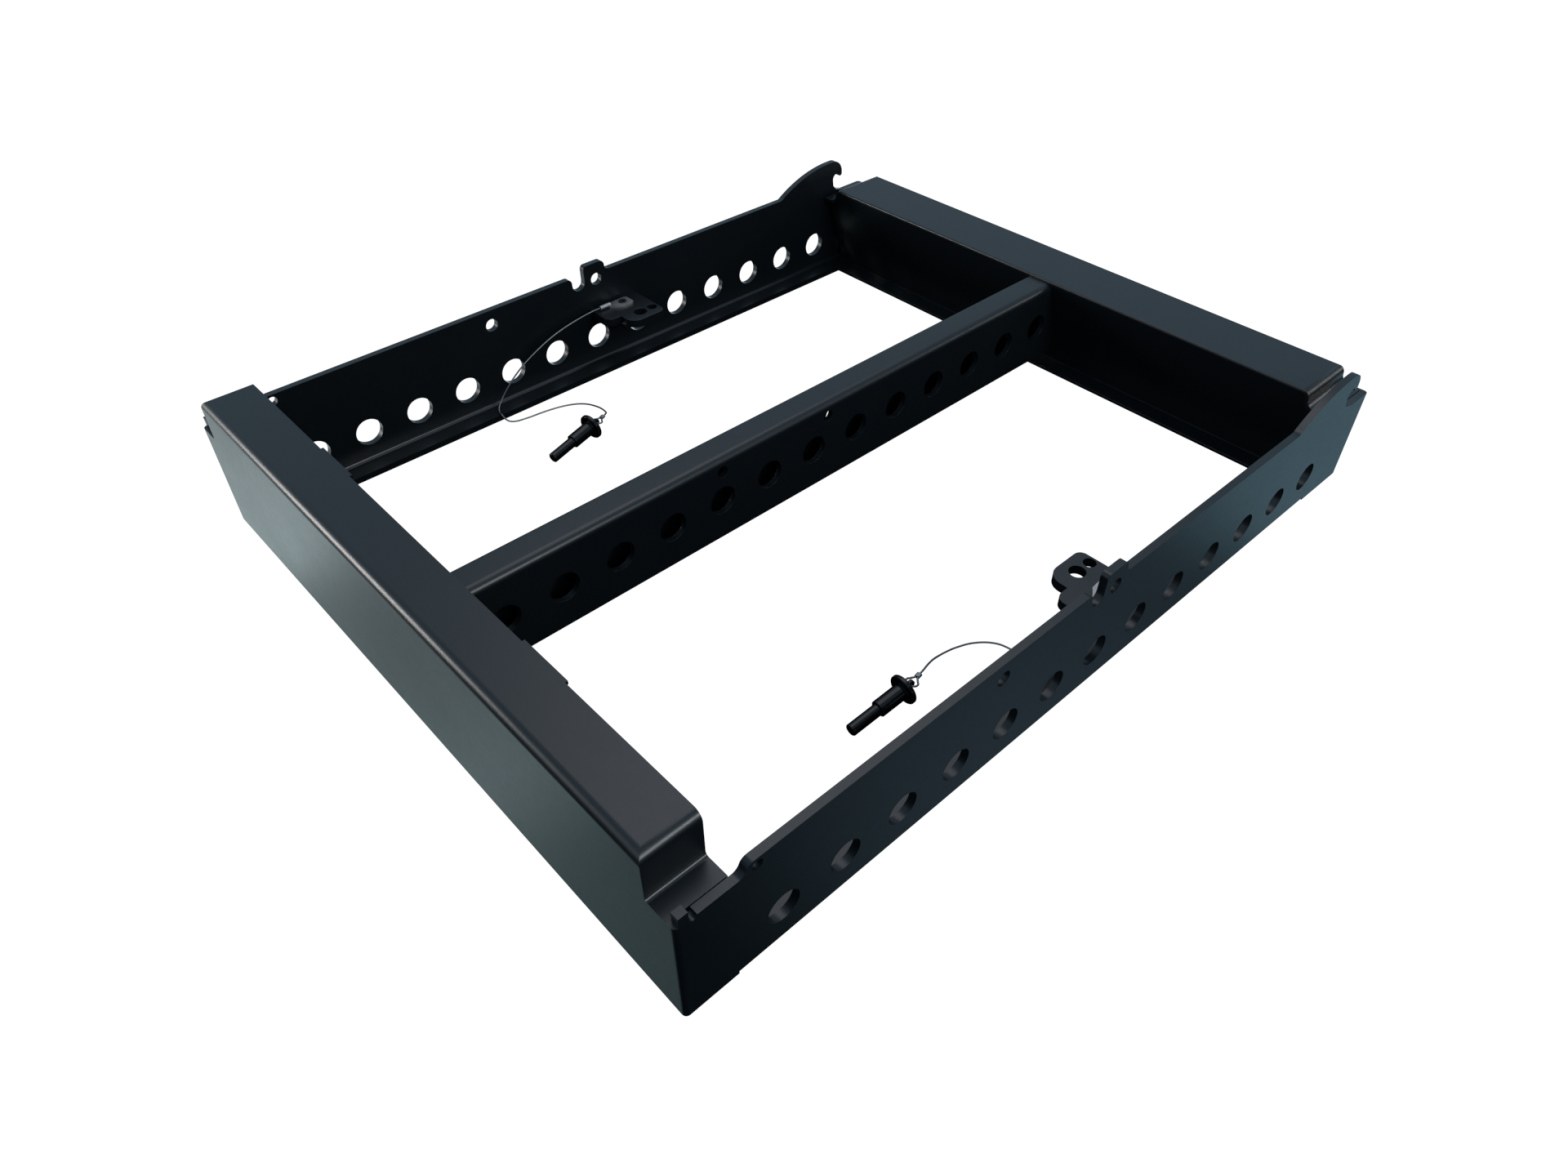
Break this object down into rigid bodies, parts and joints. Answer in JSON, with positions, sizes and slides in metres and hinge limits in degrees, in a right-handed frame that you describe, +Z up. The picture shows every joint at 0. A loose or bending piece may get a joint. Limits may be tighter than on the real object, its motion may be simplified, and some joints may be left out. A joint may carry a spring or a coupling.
{
  "type": "rigging frame",
  "caption": "Low black steel rigging frame with drilled side plates and centre beam, folded end beams, rear hooks and tethered locking pins.",
  "frame": {"origin": "centre of the footprint, at the height of the feet", "axes": "+X towards the hook end, +Z up, +Y towards the left side plate"},
  "size_m": [0.75, 0.606, 0.129],
  "materials": {
    "frame_paint": "satin black paint, fine texture, slightly worn edges",
    "pin_black": "glossy black plated steel, worn bright on edges",
    "terminal_metal": "tinned, dull silver",
    "rivet_steel": "zinc plated",
    "wire_rope": "stranded wire under a thin grey coat",
    "ferrule_metal": "pressed, satin"
  },
  "bodies": {
    "frame": {"left_side_plate": "frame_paint", "right_side_plate": "frame_paint", "front_beam": "frame_paint", "front_beam_inner": "frame_paint", "rear_beam": "frame_paint", "rear_beam_inner": "frame_paint", "centre_beam": "frame_paint", "left_bracket": "frame_paint", "right_bracket": "frame_paint", "left_terminal": "terminal_metal", "right_terminal": "terminal_metal", "left_terminal_rivet": "rivet_steel", "right_terminal_rivet": "rivet_steel", "left_lanyard": "wire_rope", "right_lanyard": "wire_rope", "left_ferrule": "ferrule_metal", "right_ferrule": "ferrule_metal", "left_pin_loop": "wire_rope", "right_pin_loop": "wire_rope"},
    "left_pin": {"left_pin": "pin_black"},
    "right_pin": {"right_pin": "pin_black"}
  },
  "joints": [
    {"name": "left_pin_swing", "type": "hinge", "parent": "frame", "child": "left_pin", "pos_m": [-0.07851, 0.19695, 0.01293], "axis": [-0.1676, 0.9859, 0], "range_deg": [0, 50]},
    {"name": "right_pin_swing", "type": "hinge", "parent": "frame", "child": "right_pin", "pos_m": [-0.10652, -0.22504, 0.01293], "axis": [0.0628, 0.998, 0], "range_deg": [0, 50]}
  ]
}
